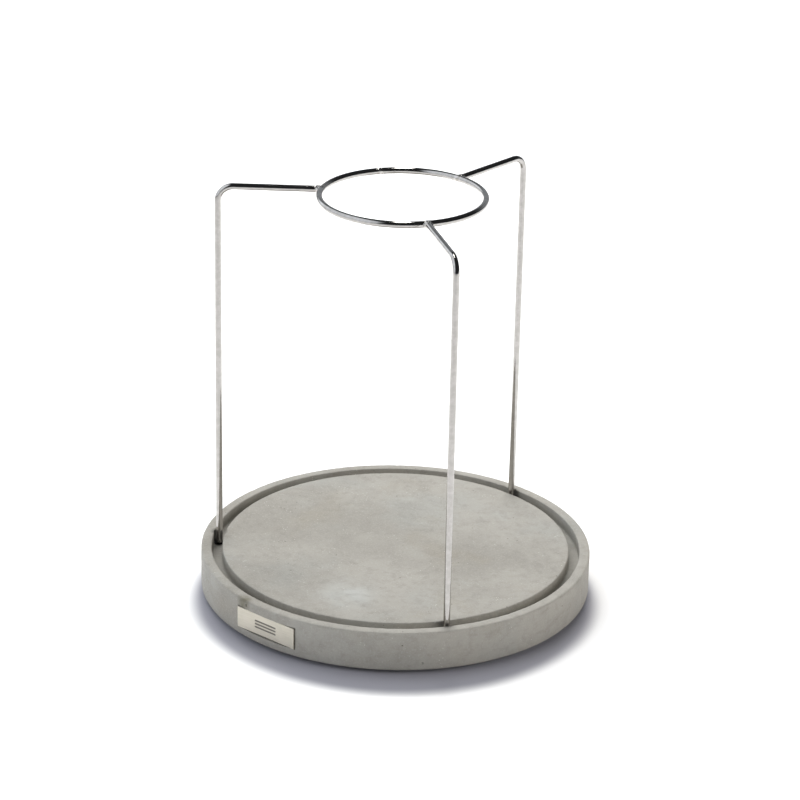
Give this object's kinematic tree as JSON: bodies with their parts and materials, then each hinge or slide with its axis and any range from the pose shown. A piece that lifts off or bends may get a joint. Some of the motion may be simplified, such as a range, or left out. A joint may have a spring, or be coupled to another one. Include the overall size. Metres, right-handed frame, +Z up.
{
  "type": "hair dryer holder",
  "caption": "Round cast concrete base with a raised rim and groove, carrying a plug-in bent wire frame that holds a ring for the dryer.",
  "frame": {"origin": "centre of the round footprint, on the surface that the foot pads stand on", "axes": "+Z up along the base's axis and the wire legs; the nameplate faces -Y, midway between the two front legs; the third leg is at the back, close to +Y"},
  "size_m": [0.18, 0.18, 0.1928],
  "materials": {
    "concrete": "smooth cast concrete, matt",
    "polished_wire": "mirror polished",
    "weld_metal": "bright, slightly uneven",
    "nameplate_metal": "satin, warm",
    "foam_tape": "matt foam",
    "black_rubber": "matt"
  },
  "bodies": {
    "base": {"base_slab": "concrete", "nameplate": "nameplate_metal", "nameplate_tape": "foam_tape", "foot_pad_1": "black_rubber", "foot_pad_2": "black_rubber", "foot_pad_3": "black_rubber", "foot_pad_4": "black_rubber", "socket_sleeve_front_right": "black_rubber", "socket_sleeve_back": "black_rubber", "socket_sleeve_front_left": "black_rubber"},
    "wire_frame": {"leg_front_right": "polished_wire", "leg_back": "polished_wire", "leg_front_left": "polished_wire", "ring": "polished_wire", "arm_weld_front_right": "weld_metal", "arm_weld_back": "weld_metal", "arm_weld_front_left": "weld_metal", "ring_seam_weld": "weld_metal"}
  },
  "joints": [
    {"name": "frame_lift", "type": "slide", "parent": "base", "child": "wire_frame", "axis": [0, 0, 1], "range_m": [0, 0.03]}
  ]
}
